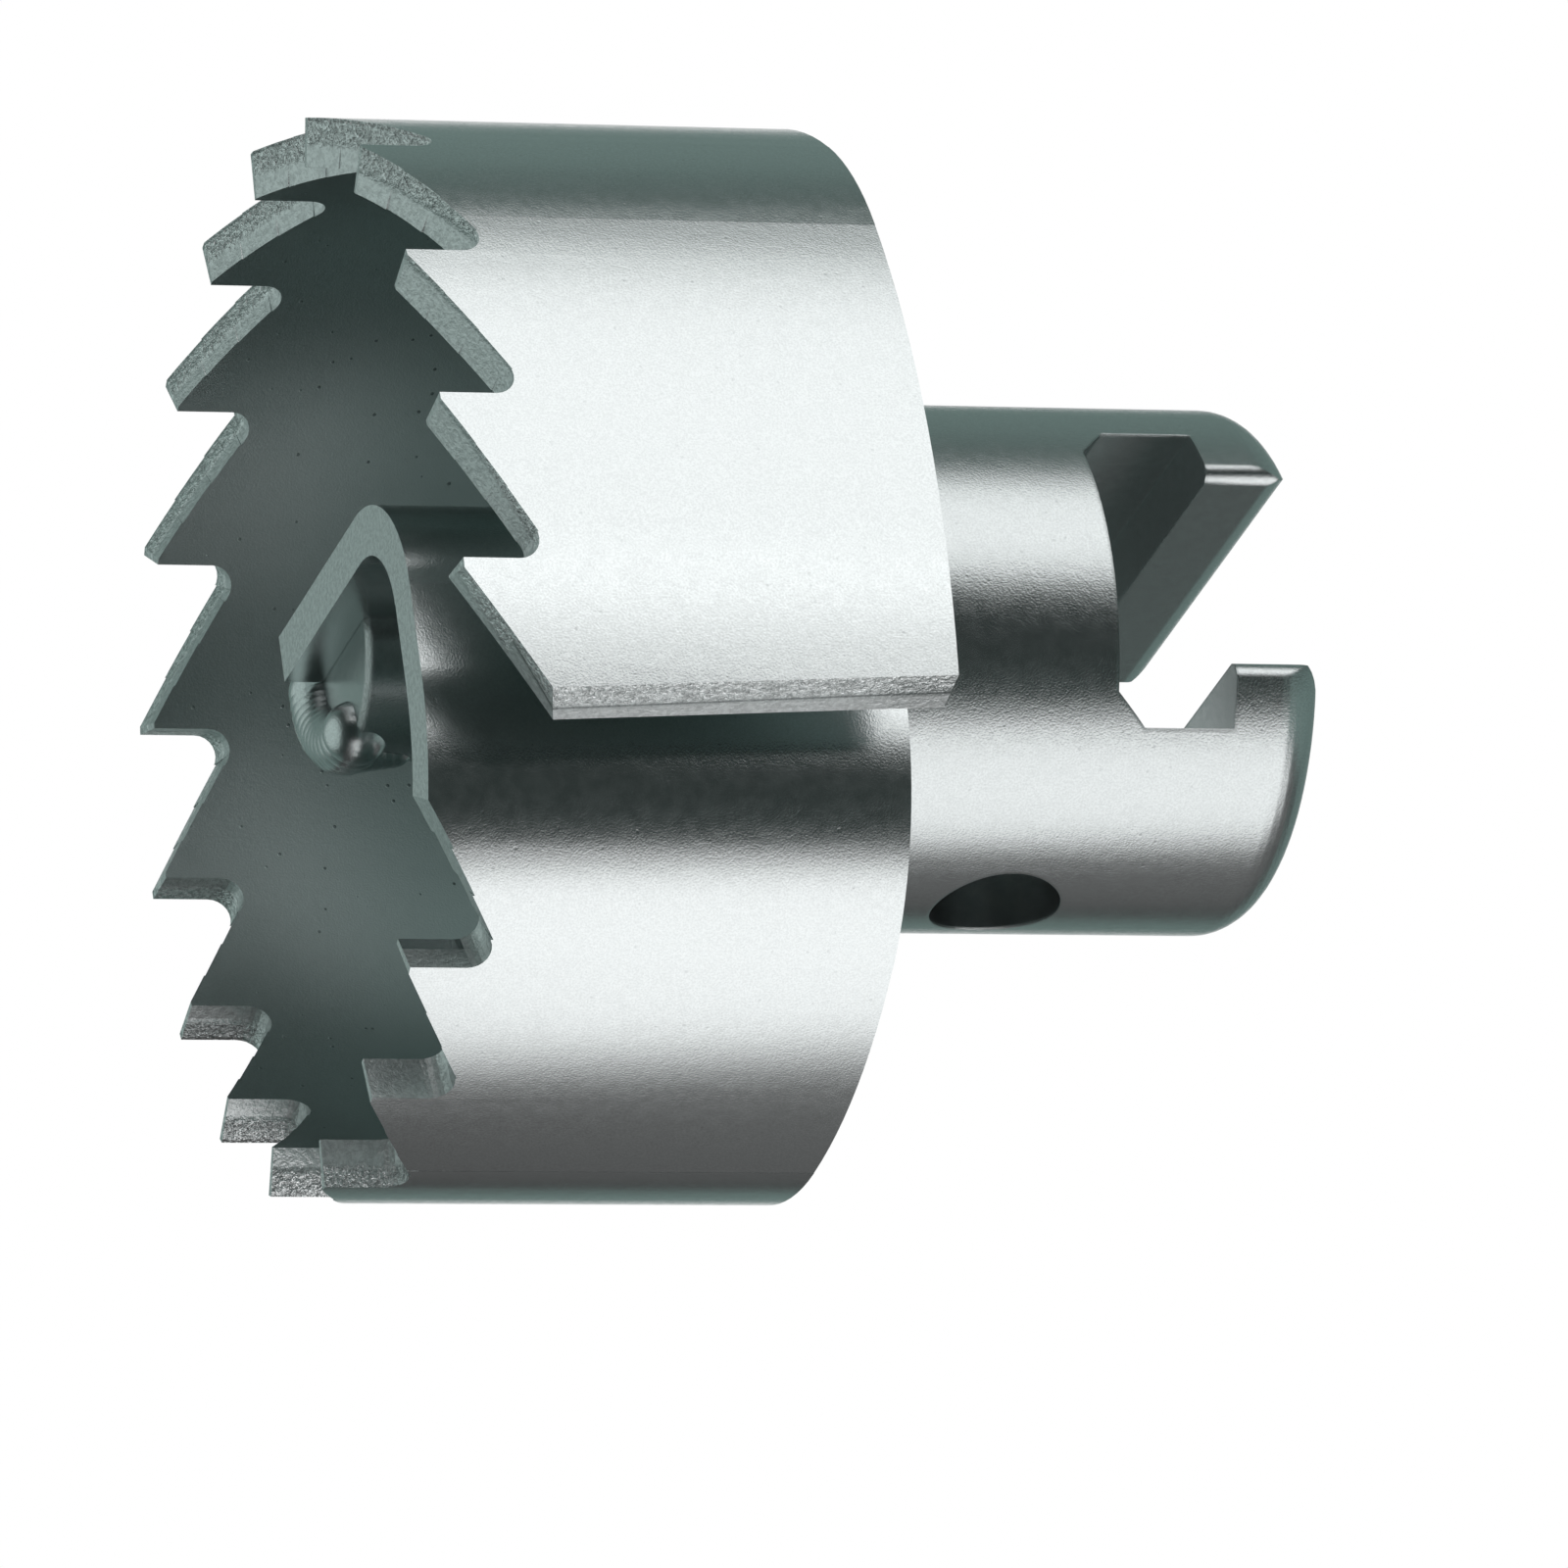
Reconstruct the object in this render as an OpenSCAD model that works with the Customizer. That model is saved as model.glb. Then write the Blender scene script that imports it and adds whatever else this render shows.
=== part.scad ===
/* [Coupling] */
// Diameter of the turned coupling body
coupling_d = 32; // [26:0.5:40]
// Length of the coupling body, from its rear face to its front shoulder
coupling_len = 30; // [26:0.5:45]
// Radius that rounds the rear rim of the coupling
rear_round = 3; // [0.5:0.1:4]
// Chamfer round the front shoulder
front_chamfer = 0.8; // [0.2:0.1:2]

/* [T slot] */
// Width of the wide part of the slot
slot_w = 19.6; // [16:0.2:22]
// Width of the narrow neck of the slot
neck_w = 12; // [9:0.2:13]
// Radius that rounds both edges of the neck at the rear face
neck_round = 2.4; // [0.5:0.1:2.8]
// Radius that rounds the neck's corners where it opens in the coupling's side
mouth_r = 0.9; // [0.5:0.1:1.5]
// Thickness of the two lips beside the neck
lip_t = 6; // [4:0.5:7]
// Height of the wide part of the slot
slot_h = 7.5; // [5:0.5:8]
// Chamfer in the two corners at the slot's floor
slot_chamfer = 1.8; // [0.5:0.1:2.5]

/* [Lock] */
// Diameter of the release hole in the coupling's side
release_d = 8; // [5:0.5:8.4]
// Wall left between the release hole and the slot's floor
release_wall = 0.5; // [0.3:0.1:2]
// Diameter of the lock pin's bore in the slot's floor
lock_d = 9; // [8.5:0.5:10]
// Depth of the lock pin's bore past the far side of the release hole
lock_extra = 1.5; // [0.5:0.5:3]

/* [Spigot] */
// Diameter of the half-round spigot
spigot_d = 12; // [9:0.5:14]
// How far the spigot's end lies below the tips of the teeth
spigot_short = 2.4; // [1.5:0.1:6]
// Chamfer on the end of the spigot
spigot_chamfer = 0.3; // [0.1:0.1:1.5]

/* [Toothed band] */
// Diameter of the rolled ring, outside
ring_d = 65; // [60:0.5:80]
// Width of the sheet, from its rear edge to the tips of the teeth
band_w = 30; // [22:0.5:40]
// Thickness of the sheet
sheet_t = 3; // [2:0.1:3.5]
// Direction in which the ring runs out into the flap, in degrees
ring_from = -42; // [-50:1:-35]
// Direction in which the ring starts to turn inward, in degrees
ring_to = 155; // [145:1:160]
// Outside radius of the bend between the ring and the flap
flap_bend_r = 22; // [15:0.5:28]
// Angle of the bend between the ring and the flap, in degrees
flap_bend = 26; // [20:1:30]
// Outside radius of the nearly flat flap
flap_r = 54; // [45:1:70]
// Angle that the flap covers, in degrees
flap_turn = 36.4; // [25:0.1:38]
// How much shorter the flap is at its rear corner than at its front corner
flap_slant = 1.2; // [0:0.1:2.5]
// How much shorter the flap is on its outer face than on its inner face
flap_bevel = 1.4; // [0:0.1:2]

/* [Tongue] */
// Outside radius of the first inward turn after the ring
turn_a_r = 19; // [16:0.5:24]
// Angle of the first inward turn, in degrees
turn_a = 27; // [20:1:32]
// Outside radius of the slack stretch after it
turn_b_r = 37; // [30:1:45]
// Angle of the slack stretch, in degrees
turn_b = 29; // [22:1:34]
// Outside radius of the last turn before the cross leg
turn_c_r = 17.8; // [15:0.1:20]
// Outside radius of the elbow between the two legs
elbow_r = 8.2; // [6:0.1:9]
// How far the seat leg's end reaches past the axis
leg_past = 3; // [1:0.5:4]

/* [Teeth] */
// Spacing of the teeth on the flap and the far side of the ring
pitch = 10.6; // [9:0.1:11.5]
// Spacing of the teeth on the rest of the ring and the inward turn
close_pitch = 10.1; // [9:0.1:11]
// Number of teeth from the flap's end that have the wider spacing
wide_teeth = 10; // [4:1:16]
// Number of teeth
teeth = 17; // [8:1:17]
// Depth of the gullets between the teeth
tooth_depth = 4.8; // [3:0.1:6]
// Radius at the root of each gullet
gullet_r = 1.3; // [0.5:0.1:1.5]
// Width of the small land on each tip
tip_land = 0.4; // [0.1:0.1:0.8]
// Distance of the first tip from the end of the flap
first_tip = 9.2; // [5:0.1:10]
// How far the sheet is cut down at the end of the flap
end_drop = 5.9; // [3:0.1:7]

/* [Weld] */
// Radius of the weld's ripples
weld_r = 2; // [1.6:0.1:2.4]
// Distance from the spigot's axis to the middle of the weld on its end
weld_at = 4.9; // [4.4:0.1:5.4]
// How far the weld's middle lies below the end of the spigot
weld_sunk = 0.5; // [0.2:0.1:1]
// Height of the weld's tail down the spigot's side
tail_len = 2.6; // [1:0.1:6]

/* [Hidden] */
$fn = 96;

// Cutters reach this far past what they cut
past = 1;
// The cutter for the flap's oblique end reaches further
end_reach = 3;
coupling_r = coupling_d / 2;
ring_r = ring_d / 2;
spigot_r = spigot_d / 2;
slot_floor = lip_t + slot_h;
ease = 0.04;
// The ledge's weld is centred this far out of the corner, both ways
ledge_in = 0.8;
release_z = slot_floor + release_wall + release_d / 2;
lock_end = release_z + release_d / 2 + lock_extra;
tip_z = coupling_len + band_w;
spigot_top = tip_z - spigot_short;

// The sheet is rolled along a path of arcs. A pose is a point on its outer
// face and the heading there, and every arc turns left round its own centre.
function along(p, r, turn) = [
    p[0] + r * (sin(p[2] + turn) - sin(p[2])),
    p[1] - r * (cos(p[2] + turn) - cos(p[2])),
    p[2] + turn
];
function ahead(p, len) = [p[0] + len * cos(p[2]), p[1] + len * sin(p[2]), p[2]];

// Every other run is smaller by this step on all sides and reaches a little
// way into its neighbours, so that the runs join as one solid
run_step = 0.01;
run_lap = 0.25;
// Each run of the sheet is [outside radius, angle, length], a straight run
// with a radius of nought
ring_start = [ring_r * cos(ring_from), ring_r * sin(ring_from), ring_from + 90];
bend_start = along(ring_start, flap_bend_r, -flap_bend);
flap_start = along(bend_start, flap_r, -flap_turn);
ring_end = along(ring_start, ring_r, ring_to - ring_from);
cross_heading = 360;
turn_c = cross_heading - ring_end[2] - turn_a - turn_b;
cross_start = along(along(along(ring_end, turn_a_r, turn_a), turn_b_r, turn_b), turn_c_r, turn_c);
// The seat leg's inner face lies on the spigot's flat, which holds the axis
elbow_x = sheet_t - elbow_r;
cross_len = elbow_x - cross_start[0];
seat_len = leg_past - cross_start[1] - elbow_r;
runs = [
    [flap_r, flap_turn, 0],
    [flap_bend_r, flap_bend, 0],
    [ring_r, ring_to - ring_from, 0],
    [turn_a_r, turn_a, 0],
    [turn_b_r, turn_b, 0],
    [turn_c_r, turn_c, 0],
    [0, 0, cross_len],
    [elbow_r, 90, 0],
    [0, 0, seat_len]
];

function run_end(p, run) = run[0] > 0 ? along(p, run[0], run[1]) : ahead(p, run[2]);
function run_start(i) = i == 0 ? flap_start : run_end(run_start(i - 1), runs[i - 1]);
// Length of a run along the middle of the sheet
function run_len(run) = run[0] > 0 ? (run[0] - sheet_t / 2) * run[1] * PI / 180 : run[2];
// Pose at a distance from the flap's end, measured along the middle of the sheet
function pose_at(d, i = 0) =
    d > run_len(runs[i]) && i < len(runs) - 1
        ? pose_at(d - run_len(runs[i]), i + 1)
        : part_way(run_start(i), runs[i], d);
function part_way(p, run, d) =
    run[0] > 0
        ? along(p, run[0], d / (run[0] - sheet_t / 2) * 180 / PI)
        : ahead(p, d);

// Distance of a tooth's tip from the flap's end
function tip_at(i) =
    first_tip + min(i, wide_teeth - 1) * pitch + max(0, i - wide_teeth + 1) * close_pitch;

// One tooth space, drawn flat: the steep face rises at nought and the back of
// the next tooth climbs to its tip, a space further on. The back meets the
// round root at its tangent, and is cut in slices that turn with the sheet.
back_rise = tooth_depth - gullet_r;
function back_angle(space) =
    let (run = space - tip_land - gullet_r)
    atan2(back_rise, run) + asin(gullet_r / norm([run, back_rise]));
function root_x(space) = gullet_r * (1 + sin(back_angle(space)));
function root_z(space) = tip_z - tooth_depth + gullet_r * (1 - cos(back_angle(space)));
root_steps = 8;
back_slices = 3;
// Neighbouring slices of a tooth's back overlap by this much
slice_lap = 0.3;

module place(p) {
    translate([p[0], p[1], 0])
        rotate(p[2])
            children();
}

module sheet_run(i) {
    run = runs[i];
    thin = i % 2 == 0;
    skin = thin ? run_step : 0;
    lap = thin ? run_lap : 0;
    end_lap = i < len(runs) - 1 ? lap : 0;
    place(run_start(i)) {
        if (run[0] > 0) {
            lap_angle = lap / run[0] * 180 / PI;
            translate([0, run[0], coupling_len])
                rotate(-90 - lap_angle)
                    rotate_extrude(angle = run[1] + 2 * lap_angle)
                        translate([run[0] - sheet_t + skin, skin])
                            square([sheet_t - 2 * skin, band_w - 2 * skin]);
        } else {
            translate([-lap, skin, coupling_len + skin])
                cube([run[2] + lap + end_lap, sheet_t - 2 * skin, band_w - 2 * skin]);
        }
    }
}

// Cuts a flat outline through the sheet, square to it at the distance d
module cut_at(d) {
    place(pose_at(d))
        translate([0, sheet_t + past, 0])
            rotate([90, 0, 0])
                linear_extrude(sheet_t + 2 * past)
                    children();
}

module gullet(space) {
    angle = back_angle(space);
    edge = root_x(space) + slice_lap;
    polygon(concat(
        [[edge, tip_z + past], [0, tip_z + past]],
        [for (i = [0:root_steps])
            let (a = 180 + i * (90 + angle) / root_steps)
            [gullet_r * (1 + cos(a)), tip_z - tooth_depth + gullet_r * (1 + sin(a))]],
        [[edge, root_z(space) + slice_lap * tan(angle)]]
    ));
}

// A slice of the next tooth's back, drawn round its middle. The last one runs
// out above the tip.
module back_slice(middle_z, slope, half) {
    polygon([
        [-half, tip_z + past],
        [-half, middle_z - half * slope],
        [half, middle_z + half * slope],
        [half, tip_z + past]
    ]);
}

module tooth_space(d, space) {
    slice_len = (space - tip_land - root_x(space)) / back_slices;
    slope = tan(back_angle(space));
    half = slice_len / 2 + slice_lap;
    cut_at(d)
        gullet(space);
    for (i = [0:back_slices - 1]) {
        middle = (i + 0.5) * slice_len;
        cut_at(d + root_x(space) + middle)
            back_slice(root_z(space) + middle * slope, slope, half);
    }
}

// The first tooth's back runs down to the end of the flap
module flap_corner() {
    slope = end_drop / (first_tip - tip_land);
    polygon([
        [-past, tip_z + past],
        [-past, tip_z - end_drop - past * slope],
        [first_tip - tip_land + past / slope, tip_z + past]
    ]);
}

// The flap's end is sheared slightly out of square
module flap_end() {
    polygon([
        [-end_reach, coupling_len - past],
        [flap_slant, coupling_len - past],
        [flap_slant, coupling_len],
        [0, tip_z],
        [-end_reach, tip_z]
    ]);
}

// The shear also leaves the end oblique through the sheet
module flap_shear() {
    place(pose_at(0))
        translate([flap_bevel, 0, 0])
            rotate(atan2(flap_bevel, sheet_t))
                translate([0, sheet_t + end_reach, 0])
                    rotate([90, 0, 0])
                        linear_extrude(sheet_t + 2 * end_reach)
                            flap_end();
}

module slot_outline() {
    half = slot_w / 2;
    neck = neck_w / 2;
    polygon([
        [-neck, -past],
        [neck, -past],
        [neck, lip_t],
        [half, lip_t],
        [half, slot_floor - slot_chamfer],
        [half - slot_chamfer, slot_floor],
        [slot_chamfer - half, slot_floor],
        [-half, slot_floor - slot_chamfer],
        [-half, lip_t],
        [-neck, lip_t]
    ]);
}

// Rounds the edge between the neck's right side and the rear face. The round's
// circle stands out of both by ease, so that it crosses them.
module neck_corner() {
    inset = neck_round - ease;
    difference() {
        translate([neck_w / 2 - past, -past])
            square(past + inset);
        translate([neck_w / 2 + inset, inset])
            circle(neck_round);
    }
}

// Rounds the corner between the neck's right side and the coupling's side
module mouth_corner() {
    inset = mouth_r - ease;
    middle_x = neck_w / 2 + inset;
    middle_y = sqrt(pow(coupling_r - inset, 2) - pow(middle_x, 2));
    outward = (coupling_r + past) / (coupling_r - inset);
    difference() {
        polygon([
            [neck_w / 2 - past, middle_y],
            [middle_x, middle_y],
            [middle_x * outward, middle_y * outward],
            [neck_w / 2 - past, middle_y * outward]
        ]);
        translate([middle_x, middle_y])
            circle(mouth_r);
    }
}

module mouth_corners() {
    for (flip_x = [0, 1], flip_y = [0, 1]) {
        mirror([flip_x, 0, 0])
            mirror([0, flip_y, 0])
                translate([0, 0, -past])
                    linear_extrude(lip_t + 2 * past)
                        mouth_corner();
    }
}

module body_profile() {
    round_steps = 10;
    polygon(concat(
        [[0, 0]],
        [for (i = [0:round_steps])
            let (a = -90 + i * 90 / round_steps)
            [coupling_r - rear_round + rear_round * cos(a), rear_round + rear_round * sin(a)]],
        [
            [coupling_r, coupling_len - front_chamfer],
            [coupling_r - front_chamfer, coupling_len],
            [0, coupling_len]
        ]
    ));
}

module spigot() {
    difference() {
        rotate_extrude()
            polygon([
                [0, coupling_len - past],
                [spigot_r, coupling_len - past],
                [spigot_r, spigot_top - spigot_chamfer],
                [spigot_r - spigot_chamfer, spigot_top],
                [0, spigot_top]
            ]);
        translate([0, -spigot_r - past, coupling_len])
            cube([spigot_r + past, spigot_d + 2 * past, band_w]);
    }
}

// A turned bar with the cable's T slot across its rear end, the release hole
// in its side and the half-round spigot that carries the band
module coupling() {
    color("darkgray")
        difference() {
            union() {
                rotate_extrude()
                    body_profile();
                spigot();
            }
            translate([0, coupling_r + past, 0])
                rotate([90, 0, 0])
                    linear_extrude(coupling_d + 2 * past) {
                        slot_outline();
                        neck_corner();
                        mirror([1, 0])
                            neck_corner();
                    }
            mouth_corners();
            translate([-coupling_r - past, 0, release_z])
                rotate([0, 90, 0])
                    cylinder(h = coupling_r + past, d = release_d);
            translate([0, 0, slot_floor - past])
                cylinder(h = lock_end - slot_floor + past, d = lock_d);
        }
}

// One strip of sheet: the flap, the ring, the turn inward and the two legs
module toothed_band() {
    color("silver")
        difference() {
            union() {
                for (i = [0:len(runs) - 1]) {
                    sheet_run(i);
                }
            }
            for (i = [0:teeth - 1]) {
                tooth_space(tip_at(i), tip_at(i + 1) - tip_at(i));
            }
            cut_at(0)
                flap_corner();
            flap_shear();
        }
}

// The weld fills the ledge beside the seat leg's end, wraps round the front of
// the spigot's end and runs out in a tail down its side
module weld_ripples() {
    front_z = spigot_top - weld_sunk;
    wrap_from = 88;
    wrap_to = 182;
    wrap_steps = 12;
    for (i = [0:wrap_steps]) {
        rotate(wrap_from + i * (wrap_to - wrap_from) / wrap_steps)
            translate([weld_at, 0, front_z])
                ripple(weld_r);
    }
    tail_turn = 165;
    tail_steps = 4;
    tail_taper = 0.1;
    for (i = [1:tail_steps]) {
        rotate(tail_turn)
            translate([weld_at, 0, front_z - i * tail_len / tail_steps])
                ripple(weld_r - i * tail_taper);
    }
    ledge_steps = 16;
    ledge_end = coupling_len + weld_r;
    for (i = [1:ledge_steps]) {
        translate([ledge_in, leg_past + ledge_in, front_z - i * (front_z - ledge_end) / ledge_steps])
            ripple(weld_r);
    }
}

module ripple(r) {
    sphere(r = r, $fn = 64);
}

module weld_bead() {
    color("gainsboro")
        difference() {
            weld_ripples();
            spigot();
            sheet_run(len(runs) - 1);
        }
}

coupling();
toothed_band();
weld_bead();
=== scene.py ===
from math import cos, pi, radians, sin

import bpy
from mathutils import Matrix, Vector

bpy.ops.wm.read_factory_settings(use_empty=True)
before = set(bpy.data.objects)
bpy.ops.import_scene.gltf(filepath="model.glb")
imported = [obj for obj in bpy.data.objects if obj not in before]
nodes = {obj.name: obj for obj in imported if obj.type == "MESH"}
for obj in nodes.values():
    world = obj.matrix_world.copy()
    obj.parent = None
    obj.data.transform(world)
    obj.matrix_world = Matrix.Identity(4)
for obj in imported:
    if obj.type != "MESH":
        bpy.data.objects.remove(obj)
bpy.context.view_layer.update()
MM = 0.001

# Sizes of the sheet, in millimetres
RING_R = 32.5
GULLETS_Z = 54.9
TEETH_INSIDE_R = 27
FLAP_END = (-15.8, -28.8)
FLAP_END_REACH = 3.0
FLAP_R = 34.0
TORN_DEPTH = 1.62


# Materials. Every length in them is in millimetres.
class Shader:
    """A node tree, with short ways to add and join nodes."""

    def __init__(self, tree):
        self.tree = tree
        tree.nodes.clear()

    @classmethod
    def material(cls, name):
        mat = bpy.data.materials.new(name)
        mat.use_nodes = True
        made = cls(mat.node_tree)
        made.mat = mat
        made.out = made.node("ShaderNodeOutputMaterial")
        return made

    def use_mm(self):
        """Makes self.mm the place on the part in millimetres."""
        coord = self.node("ShaderNodeTexCoord")
        scale = self.node("ShaderNodeVectorMath", operation="SCALE")
        scale.inputs["Scale"].default_value = 1 / MM
        self.link(coord.outputs["Object"], scale.inputs[0])
        self.mm = scale.outputs[0]

    def node(self, kind, **props):
        made = self.tree.nodes.new(kind)
        for key, value in props.items():
            setattr(made, key, value)
        return made

    def link(self, a, b):
        self.tree.links.new(a, b)

    def put(self, socket, value):
        if isinstance(value, bpy.types.NodeSocket):
            self.link(value, socket)
        else:
            socket.default_value = value

    def math(self, op, a, b=0.0):
        made = self.node("ShaderNodeMath", operation=op)
        self.put(made.inputs[0], a)
        self.put(made.inputs[1], b)
        return made.outputs[0]

    def plus(self, a, b):
        return self.math("ADD", a, b)

    def minus(self, a, b):
        return self.math("SUBTRACT", a, b)

    def times(self, a, b):
        return self.math("MULTIPLY", a, b)

    def larger(self, a, b):
        return self.math("MAXIMUM", a, b)

    def size(self, a):
        return self.math("ABSOLUTE", a)

    def vector(self, op, a, b=(0, 0, 0)):
        made = self.node("ShaderNodeVectorMath", operation=op)
        self.put(made.inputs[0], a)
        self.put(made.inputs[1], b)
        gives_number = op in ("DOT_PRODUCT", "DISTANCE", "LENGTH")
        return made.outputs["Value" if gives_number else "Vector"]

    def xyz(self, vector):
        made = self.node("ShaderNodeSeparateXYZ")
        self.link(vector, made.inputs[0])
        return made.outputs

    def ramp(self, value, lo, hi, to_lo=0.0, to_hi=1.0):
        made = self.node("ShaderNodeMapRange", interpolation_type="SMOOTHSTEP")
        names = ("Value", "From Min", "From Max", "To Min", "To Max")
        for name, v in zip(names, (value, lo, hi, to_lo, to_hi)):
            self.put(made.inputs[name], v)
        return made.outputs[0]

    def window(self, value, a, b, c, d):
        """0 up to a, 1 from b to c and 0 from d on."""
        return self.times(self.ramp(value, a, b), self.ramp(value, c, d, 1, 0))

    def noise(self, per_mm, detail, rough):
        made = self.node("ShaderNodeTexNoise")
        self.link(self.mm, made.inputs["Vector"])
        made.inputs["Scale"].default_value = per_mm
        made.inputs["Detail"].default_value = detail
        made.inputs["Roughness"].default_value = rough
        return made.outputs[0]

    def spots(self, per_mm, share, size):
        """Round spots in some of the cells: 1 in a spot and 0 elsewhere."""
        cell = self.node("ShaderNodeTexVoronoi")
        self.link(self.mm, cell.inputs["Vector"])
        cell.inputs["Scale"].default_value = per_mm
        split = self.node("ShaderNodeSeparateColor")
        self.link(cell.outputs["Color"], split.inputs[0])
        some = self.math("LESS_THAN", split.outputs[0], share)
        return self.times(self.ramp(cell.outputs["Distance"], size * 0.5, size, 1, 0), some)

    def mix(self, fac, a, b):
        """A mix of two colours."""
        made = self.node("ShaderNodeMix", data_type="RGBA")
        for place, value in ((0, fac), (6, a), (7, b)):
            self.put(made.inputs[place], value)
        return made.outputs[2]

    def blend(self, fac, a, b):
        """A mix of two numbers."""
        made = self.node("ShaderNodeMix", data_type="FLOAT")
        for place, value in ((0, fac), (2, a), (3, b)):
            self.put(made.inputs[place], value)
        return made.outputs[0]


def grey(r, g, b):
    return (r, g, b, 1)


def shade(colour, by):
    return grey(*(c * by for c in colour[:3]))


def sheared(s):
    """Masks of the faces cut through the sheet, of the ring's dull inside, which also gets
    painted shade, and of the line where the flap's end face stopped being torn, which is
    painted dark as shade, with the depth from the sheet's outer face."""
    normal = s.node("ShaderNodeNewGeometry").outputs["True Normal"]
    x, y, z = s.xyz(s.mm)
    joined = s.node("ShaderNodeCombineXYZ")
    s.link(x, joined.inputs[0])
    s.link(y, joined.inputs[1])
    level = joined.outputs[0]
    radius = s.vector("LENGTH", level)
    facing_out = s.vector("DOT_PRODUCT", normal, s.vector("NORMALIZE", level))

    square_on = s.ramp(s.size(s.xyz(normal)[2]), 0.25, 0.4)
    across = s.ramp(s.size(facing_out), 0.7, 0.8, 1, 0)
    teeth = s.times(s.math("GREATER_THAN", z, GULLETS_Z),
                    s.math("GREATER_THAN", radius, TEETH_INSIDE_R))
    flap = s.math("LESS_THAN", s.vector("DISTANCE", level, (*FLAP_END, 0)), FLAP_END_REACH)
    cut = s.larger(square_on, s.times(across, s.larger(teeth, flap)))

    depth = s.minus(s.blend(flap, RING_R, FLAP_R), radius)
    # The narrow line where the torn part of the flap's end face starts, painted dark below as
    # shade in the step
    split = s.ramp(s.size(s.minus(depth, TORN_DEPTH)), 0.03, 0.12, 1, 0)
    split = s.times(s.times(split, flap), cut)
    # The ring's inside, where the colour is painted shade as well as dull plate
    inside = s.times(s.ramp(facing_out, -0.6, -0.3, 1, 0), s.ramp(radius, 25, 28))
    # The painted shade inside the ring is weakest at the crown and full deeper in
    inside = s.times(inside, s.ramp(z, 62, 40, 0.35, 1))
    return cut, depth, inside, split


def plated(name, tint, rough, blast, edge_r, has_sheared=False):
    """Satin plate over blasted steel, with fine speckle, soft blotches and pits."""
    s = Shader.material(name)
    s.use_mm()
    fine = s.noise(8.0, 1.0, 0.6)
    soft = s.noise(1.3, 1.0, 0.5)
    height = s.plus(s.times(fine, blast), s.times(soft, blast * 0.5))
    colour = s.mix(s.ramp(fine, 0.3, 0.7), shade(tint, 1.04), shade(tint, 0.93))
    roughness = s.plus(rough, s.ramp(soft, 0.3, 0.7, -0.01, 0.02))
    pitted = 0.15
    if has_sheared:
        # The outer part of a cut face broke away rough, and the inner part was burnished
        cut, depth, inside, split = sheared(s)
        torn = s.times(cut, s.ramp(depth, 1.3, 1.9, 1, 0.25))
        grit = s.noise(2.9, 2.0, 0.75)
        height = s.plus(height, s.times(s.times(grit, torn), 0.3))
        worn_edge = s.times(s.ramp(depth, 0.0, 0.3, 1, 0), cut)
        height = s.minus(height, s.times(worn_edge, 0.12))
        gritty = s.mix(s.ramp(grit, 0.36, 0.64), grey(0.52, 0.54, 0.54), grey(0.92, 0.95, 0.95))
        cut_colour = s.mix(s.ramp(depth, 1.2, 1.9, 0, 0.6), gritty, grey(0.64, 0.67, 0.67))
        colour = s.mix(cut, colour, cut_colour)
        # Painted shade: a dark line along the step where the torn part of the flap's end face
        # starts
        colour = s.mix(s.times(split, 0.6), colour, grey(0.1, 0.12, 0.12))
        roughness = s.blend(cut, roughness, s.minus(0.48, s.times(torn, 0.12)))
        # Plate is thin and dull inside the ring, with more pits; its dark colour there is
        # painted shade
        inside = s.times(inside, s.minus(1, cut))
        colour = s.mix(inside, colour, grey(0.26, 0.34, 0.33))
        roughness = s.blend(inside, roughness, 0.48)
        pitted = s.plus(s.times(inside, 0.7), 0.12)
    pits = s.times(s.spots(1.1, 0.3, 0.15), pitted)
    height = s.minus(height, s.times(pits, 0.03))
    colour = s.mix(s.times(pits, 0.9), colour, grey(0.08, 0.1, 0.1))

    bump = s.node("ShaderNodeBump")
    if edge_r:
        rounded = s.node("ShaderNodeBevel", samples=2)
        rounded.inputs["Radius"].default_value = edge_r * MM
        s.link(rounded.outputs[0], bump.inputs["Normal"])
    bump.inputs["Strength"].default_value = 1.0
    bump.inputs["Distance"].default_value = MM
    s.link(height, bump.inputs["Height"])
    bsdf = s.node("ShaderNodeBsdfPrincipled")
    bsdf.inputs["Metallic"].default_value = 1.0
    s.link(colour, bsdf.inputs["Base Color"])
    s.link(roughness, bsdf.inputs["Roughness"])
    s.link(bump.outputs[0], bsdf.inputs["Normal"])
    s.link(bsdf.outputs[0], s.out.inputs["Surface"])
    return s.mat


looks = {
    "coupling": plated("plated_bar", grey(0.6, 0.63, 0.63), 0.25, 0.012, 0.3),
    "toothed_band": plated("plated_sheet", grey(0.66, 0.69, 0.69), 0.22, 0.008, 0, True),
    "weld_bead": plated("plated_weld", grey(0.62, 0.66, 0.66), 0.24, 0.01, 0),
}
for name, obj in nodes.items():
    obj.data.materials.clear()
    obj.data.materials.append(looks[name])


def placed(at, x, y, z):
    """The matrix that puts an object's middle at a point and its axes along x, y and z."""
    return Matrix.Translation(at) @ Matrix((x, y, z)).transposed().to_4x4()


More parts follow.
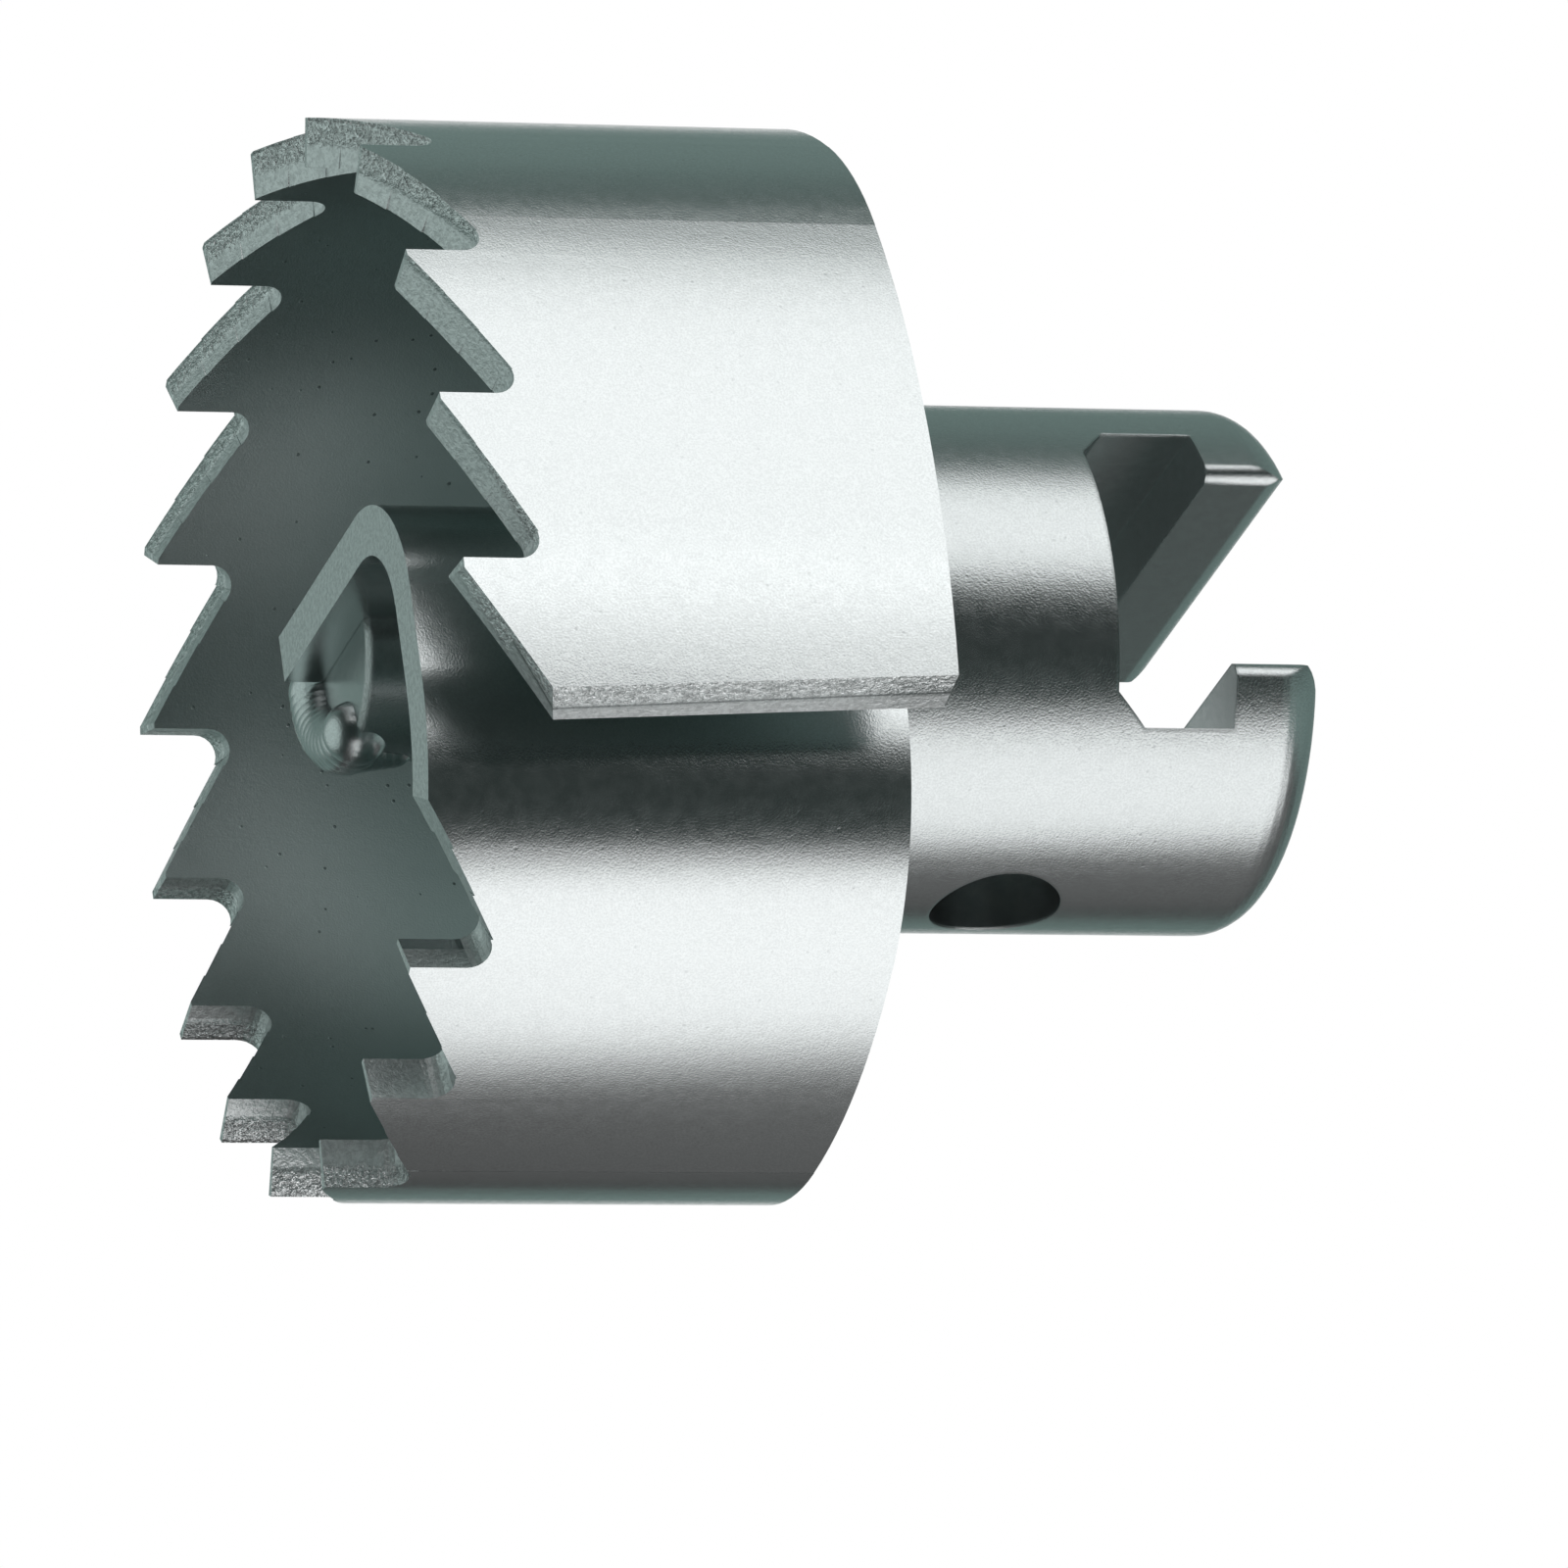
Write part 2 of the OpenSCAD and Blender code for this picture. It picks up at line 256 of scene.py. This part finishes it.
# The camera. The photograph lies level, with the part's axis across it, so
# the picture's own right and up are worked out from the part's axis.
PHOTO_PX = 1600
PX = 0.0592 * MM
TILT = radians(19.0)
TURN = radians(-115.5)
ROLL = 0.0124
FAR = 19000 * PX
AIM_Z = 29.25 * MM
AIM_BELOW = 119 * PX
axis = Vector((0, 0, 1))
side = Vector((cos(TURN), sin(TURN), 0))
across = axis.cross(side)
toward = side * cos(TILT) + axis * sin(TILT)
right = (side * sin(TILT) - axis * cos(TILT) + across * ROLL).normalized()
up = toward.cross(right)
cam = bpy.data.objects.new("camera", bpy.data.cameras.new("camera"))
scene = bpy.context.scene
scene.collection.objects.link(cam)
scene.camera = cam
cam.matrix_world = placed(axis * AIM_Z - up * AIM_BELOW + toward * FAR, right, up, toward)
cam.data.lens = cam.data.sensor_width * FAR / (PHOTO_PX * PX)
cam.data.clip_start = 0.01
cam.data.clip_end = 10


# The photograph was lit by a bright sheet above and a bright floor below, with
# a dark gap in front and a dim room elsewhere, which show as bands on the round
# parts. Directions are given in degrees, seen from the middle of the part: lift
# is above the view line and turn is to its right.
MIDDLE = Vector((0, 0, 30 * MM))
SHEET_LIGHT = 1.35
CROWN_LIGHT = 0.26
FLOOR_LIGHT = 1.3
WHITE = grey(1, 1, 1)
GREENISH = grey(0.72, 1.0, 0.94)


def directions(s, way):
    """Lift, turn and the share that points at the camera, of a way from the part."""
    ahead, over, beside = (s.vector("DOT_PRODUCT", way, v) for v in (toward, up, right))
    lift = s.times(s.math("ARCTAN2", over, ahead), 180 / pi)
    return lift, s.times(s.math("ARCSINE", beside), 180 / pi), ahead


def glow(s, kind, colour, strength):
    made = s.node(kind)
    made.inputs["Color"].default_value = colour
    s.put(made.inputs["Strength"], strength)
    return made.outputs[0]


def join(s, kind, a, b, fac=None):
    made = s.node(kind)
    ends = list(made.inputs)
    if fac is not None:
        s.link(fac, ends.pop(0))
    s.link(a, ends[0])
    s.link(b, ends[1])
    return made.outputs[0]


world = bpy.data.worlds.new("world")
scene.world = world
world.use_nodes = True
sky = Shader(world.node_tree)
lift, turn, ahead = directions(sky, sky.node("ShaderNodeTexCoord").outputs["Generated"])
above = sky.times(sky.window(lift, 41, 52, 90, 106), sky.window(turn, -35, 16, 50, 66))
crown_side = sky.ramp(turn, -60, -40, 1, 0)
sheet = sky.plus(sky.times(above, SHEET_LIGHT), sky.times(crown_side, CROWN_LIGHT))
behind = sky.plus(sky.ramp(ahead, -0.3, 0.1, 0.09, 0), sky.ramp(ahead, -0.75, -0.3, 0.12, 0))
low_right = sky.times(sky.ramp(turn, 40, 60), sky.ramp(lift, -20, 20, 1, 0))
room = sky.larger(behind, sky.times(crown_side, 0.3))
room = sky.plus(sky.larger(room, sky.times(low_right, 0.25)), 0.03)
lit = join(sky, "ShaderNodeAddShader", glow(sky, "ShaderNodeBackground", WHITE, sheet),
           glow(sky, "ShaderNodeBackground", GREENISH, room))
# The white backdrop stands behind the part, and metal shows it there
ray = sky.node("ShaderNodeLightPath").outputs
shown = sky.larger(ray["Is Glossy Ray"], ray["Is Transmission Ray"])
shown = sky.times(shown, sky.ramp(ahead, -0.98, -0.96, 1, 0))
shown = sky.larger(ray["Is Camera Ray"], shown)
white = glow(sky, "ShaderNodeBackground", WHITE, 1.0)
backdrop = join(sky, "ShaderNodeMixShader", lit, white, shown)
sky.link(backdrop, sky.node("ShaderNodeOutputWorld").inputs["Surface"])

# The floor is a pale light table under the part and in front of it. It glows
# less towards its ends, and other views look through it from underneath.
FLOOR_DROP = 150 * MM
FLOOR_CORNERS = ((-100, -480), (360, -480), (360, 170), (-100, 170))
table = Shader.material("light_table")
place = table.node("ShaderNodeNewGeometry").outputs
way = table.vector("NORMALIZE", table.vector("SUBTRACT", place["Position"], MIDDLE))
lift, turn, _ = directions(table, way)
side_on = table.window(turn, -28, 16, 50, 66)
below = table.times(table.window(lift, -93, -80, -36, -18), side_on)
under = table.times(table.window(lift, -134, -120, -92, -82), side_on)
light = table.plus(table.times(below, FLOOR_LIGHT), table.times(under, 0.08))
seen = table.node("ShaderNodeLightPath").outputs["Is Camera Ray"]
top = glow(table, "ShaderNodeEmission", WHITE, table.blend(seen, table.plus(light, 0.06), 1.0))
clear = table.node("ShaderNodeBsdfTransparent").outputs[0]
table.link(join(table, "ShaderNodeMixShader", top, clear, place["Backfacing"]),
           table.out.inputs["Surface"])
floor_mesh = bpy.data.meshes.new("floor")
floor_mesh.from_pydata([(x * MM, y * MM, 0) for x, y in FLOOR_CORNERS], [], [(0, 1, 2, 3)])
floor_mesh.materials.append(table.mat)
floor = bpy.data.objects.new("floor", floor_mesh)
scene.collection.objects.link(floor)
floor.matrix_world = placed(MIDDLE - up * FLOOR_DROP, right, -toward, up)

# The sheet's flap faces a nearer lamp that the turned bar doesn't show
LAMP_LIFT = radians(36.5)
LAMP_TURN = radians(30)
LAMP_FAR = 0.6
lamp = bpy.data.objects.new("flap", bpy.data.lights.new("flap", "AREA"))
scene.collection.objects.link(lamp)
lamp.data.shape = "RECTANGLE"
lamp.data.size = 0.36
lamp.data.size_y = 0.18
lamp.data.energy = 0.23
way = toward * cos(LAMP_LIFT) * cos(LAMP_TURN) + up * sin(LAMP_LIFT) * cos(LAMP_TURN)
way = (way + right * sin(LAMP_TURN)).normalized()
along = (right - way * right.dot(way)).normalized()
lamp.matrix_world = placed(MIDDLE + way * LAMP_FAR, along, way.cross(along), way)
lit_by_lamp = bpy.data.collections.new("lit_by_flap_light")
lit_by_lamp.objects.link(nodes["toothed_band"])
lamp.light_linking.receiver_collection = lit_by_lamp

scene.view_settings.view_transform = "Standard"
